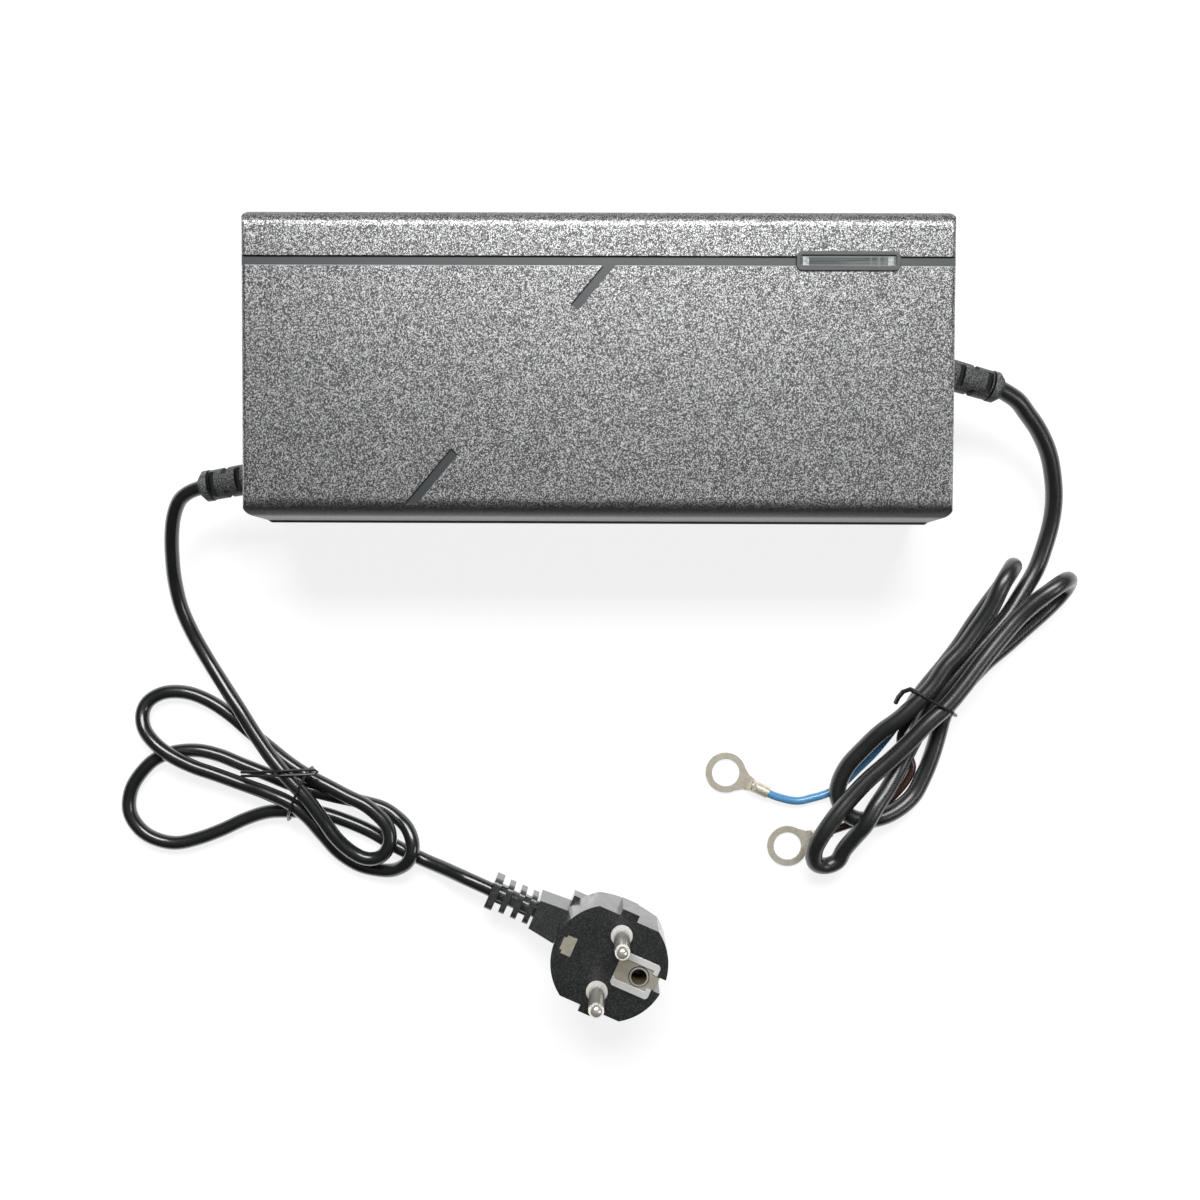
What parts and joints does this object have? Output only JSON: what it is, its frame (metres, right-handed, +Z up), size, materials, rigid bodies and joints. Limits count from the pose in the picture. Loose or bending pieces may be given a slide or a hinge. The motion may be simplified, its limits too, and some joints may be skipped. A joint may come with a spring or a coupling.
{
  "type": "battery charger",
  "caption": "Mains charger for lithium iron phosphate batteries: low grained plastic case, tied mains lead with earthed plug, tied battery lead with ring terminals.",
  "frame": {"origin": "bottom centre of the case on the table, under its four feet", "axes": "+X along the case towards the battery lead, +Y towards the long edge with the indicator window, +Z up"},
  "size_m": [0.3093, 0.2446, 0.0505],
  "materials": {
    "cover_plastic": "satin, fine sparkling moulded grain",
    "base_plastic": "matt, fine moulded grain",
    "black_steel": "black oxide",
    "foot_rubber": "matt",
    "bezel_plastic": "smooth satin",
    "window_acrylic": "clear smoked acrylic",
    "lamp_red": "frosted",
    "lamp_green": "frosted",
    "circuit_board": "solder mask",
    "ribbon_cable": "satin",
    "zinc_steel": "zinc plated",
    "fuse_glass": "glass tube with plated caps",
    "capacitor_yellow": "smooth",
    "choke_copper": "enamelled wire",
    "black_resin": "moulded epoxy",
    "capacitor_sleeve": "shrink sleeve",
    "sink_aluminium": "extruded",
    "ferrite": "sintered, matt",
    "winding_tape": "polyester tape",
    "capacitor_blue": "dipped resin",
    "wire_brown": "PVC",
    "wire_blue": "PVC",
    "wire_green_yellow": "PVC",
    "relief_pvc": "fine spark-eroded grain",
    "cord_pvc": "smooth glossy PVC",
    "tie_plastic": "smooth",
    "tinned_copper": "dull tin plating",
    "plug_pvc": "satin moulded PVC",
    "plated_brass": "nickel plated",
    "white_insulator": "smooth"
  },
  "bodies": {
    "root": {"top_cover": "cover_plastic", "bottom_cover": "base_plastic", "case_screws": "black_steel", "rubber_feet": "foot_rubber", "window_bezel": "bezel_plastic", "window_lens": "window_acrylic", "power_lamp": "lamp_red", "charge_lamp": "lamp_green", "lamp_board": "circuit_board", "lamp_ribbon": "ribbon_cable", "main_board": "circuit_board", "board_screws": "zinc_steel", "line_fuse": "fuse_glass", "filter_capacitor": "capacitor_yellow", "line_choke": "choke_copper", "bridge_rectifier": "black_resin", "bulk_capacitors": "capacitor_sleeve", "primary_sink": "sink_aluminium", "secondary_sink": "sink_aluminium", "power_transistors": "black_resin", "output_rectifiers": "black_resin", "device_screws": "zinc_steel", "transformer_core": "ferrite", "transformer_winding": "winding_tape", "transformer_base": "black_resin", "output_inductor": "choke_copper", "output_capacitors": "capacitor_sleeve", "control_chips": "black_resin", "safety_capacitor": "capacitor_blue", "mains_live_inner": "wire_brown", "mains_neutral_inner": "wire_blue", "mains_earth_inner": "wire_green_yellow", "dc_negative_inner": "wire_blue", "dc_positive_inner": "wire_brown", "mains_relief": "relief_pvc", "dc_relief": "relief_pvc", "mains_lead": "cord_pvc", "dc_lead": "cord_pvc", "mains_tie": "tie_plastic", "dc_tie": "tie_plastic", "negative_wire": "wire_blue", "positive_wire": "wire_brown", "negative_terminal": "tinned_copper", "positive_terminal": "tinned_copper", "plug_body": "plug_pvc", "plug_pins": "plated_brass", "pin_collars": "white_insulator", "earth_carrier": "white_insulator", "earth_strip": "plated_brass"}
  },
  "joints": []
}
